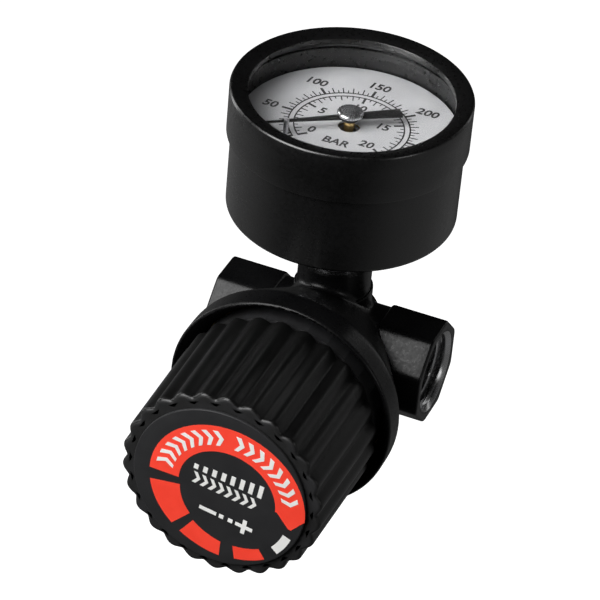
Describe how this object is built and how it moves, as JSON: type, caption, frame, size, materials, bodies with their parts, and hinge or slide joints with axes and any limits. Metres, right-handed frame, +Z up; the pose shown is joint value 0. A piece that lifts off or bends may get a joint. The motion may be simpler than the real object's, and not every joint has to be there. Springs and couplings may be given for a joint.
{
  "type": "carbon dioxide regulator",
  "caption": "Compact in-line gas pressure regulator with threaded side ports, a ribbed adjusting knob and a round dial gauge standing on top.",
  "frame": {"origin": "centre of the inlet port's mouth, on the port axis", "axes": "+X from the inlet to the outlet along the port axis, +Z up along the gauge's axis, and the adjusting knob points along -Y"},
  "size_m": [0.041, 0.068, 0.0713],
  "materials": {
    "body_paint": "satin black enamel on a zinc casting",
    "gauge_paint": "semi-gloss black enamel on pressed steel",
    "knob_plastic": "moulded black plastic, satin",
    "bonnet_plastic": "moulded black plastic",
    "label_print": "printed film: charcoal with a red scale and white marks",
    "lens_clear": "clear",
    "dial_enamel": "white enamel with black print",
    "pointer_black": "matt black",
    "chrome_cap": "polished",
    "plated_steel": "zinc plated",
    "spring_steel": "plain",
    "brass": "machined",
    "rubber": "matt"
  },
  "bodies": {
    "regulator": {"back_plate": "brass", "body": "body_paint", "bonnet": "bonnet_plastic", "bottom_plug": "brass", "bourdon_tube": "brass", "case_screw_left": "plated_steel", "case_screw_right": "plated_steel", "clamp_ring": "brass", "dial": "dial_enamel", "diaphragm": "rubber", "front_plate": "brass", "gauge_bezel": "gauge_paint", "gauge_case": "gauge_paint", "gauge_lens": "lens_clear", "gauge_socket": "gauge_paint", "hairspring": "spring_steel", "inlet_filter": "brass", "lens_gasket": "rubber", "movement_screw_left": "plated_steel", "movement_screw_right": "plated_steel", "pillar_left": "brass", "pillar_right": "brass", "plug_o_ring": "rubber", "range_spring": "spring_steel", "stop_pin": "plated_steel", "thrust_washer": "brass", "valve_seat": "brass", "valve_spring": "spring_steel"},
    "knob": {"knob": "knob_plastic", "knob_label": "label_print", "knob_screw": "plated_steel", "adjusting_screw": "plated_steel"},
    "spring_nut": {"spring_nut": "brass"},
    "diaphragm_stack": {"diaphragm_plate": "plated_steel", "diaphragm_button": "brass"},
    "poppet": {"valve_poppet": "brass", "poppet_seal": "rubber"},
    "pointer": {"pointer": "pointer_black", "pointer_cap": "chrome_cap", "pinion_arbor": "brass"},
    "sector": {"sector_gear": "brass"},
    "tube_tip": {"tube_tip": "brass"},
    "link": {"link": "plated_steel"}
  },
  "joints": [
    {"name": "knob_turn", "type": "hinge", "parent": "regulator", "child": "knob", "pos_m": [0.02, -0.035, 0.0004], "axis": [0, 1, 0], "range_deg": [0, 1440]},
    {"name": "nut_travel", "type": "slide", "parent": "regulator", "child": "spring_nut", "axis": [0, 1, 0], "range_m": [0, 0.00501], "deforming": ["range_spring"]},
    {"name": "diaphragm_travel", "type": "slide", "parent": "regulator", "child": "diaphragm_stack", "axis": [0, 1, 0], "range_m": [0, 0.0008], "stiffness_N_per_m": 2000, "deforming": ["diaphragm"]},
    {"name": "poppet_lift", "type": "slide", "parent": "regulator", "child": "poppet", "axis": [0, 1, 0], "range_m": [0, 0.0008], "deforming": ["valve_spring"]},
    {"name": "sector_swing", "type": "hinge", "parent": "regulator", "child": "sector", "pos_m": [0.02, -0.0108, 0.037], "axis": [0, 0, 1], "range_deg": [0, 32.6], "stiffness_Nm_per_rad": 0.002, "deforming": ["bourdon_tube"]},
    {"name": "pointer_turn", "type": "hinge", "parent": "regulator", "child": "pointer", "pos_m": [0.02, 0, 0.0452], "axis": [0, 0, -1], "range_deg": [0, 261], "deforming": ["hairspring"]},
    {"name": "tip_travel", "type": "slide", "parent": "regulator", "child": "tube_tip", "axis": [0.361, 0.9326, 0], "range_m": [0, 0.00101]},
    {"name": "link_pivot", "type": "hinge", "parent": "sector", "child": "link", "pos_m": [0.025, -0.0108, 0.0383], "axis": [0, 0, 1], "range_deg": [-44, 0]}
  ],
  "couplings": [
    {"joint": "nut_travel", "follows": "knob_turn", "m_per_rad": 0.00019894},
    {"joint": "poppet_lift", "follows": "diaphragm_travel", "ratio": 1},
    {"joint": "pointer_turn", "follows": "sector_swing", "ratio": 8},
    {"joint": "tip_travel", "follows": "sector_swing", "m_per_rad": 0.0017584},
    {"joint": "link_pivot", "follows": "sector_swing", "ratio": -1.3367}
  ]
}
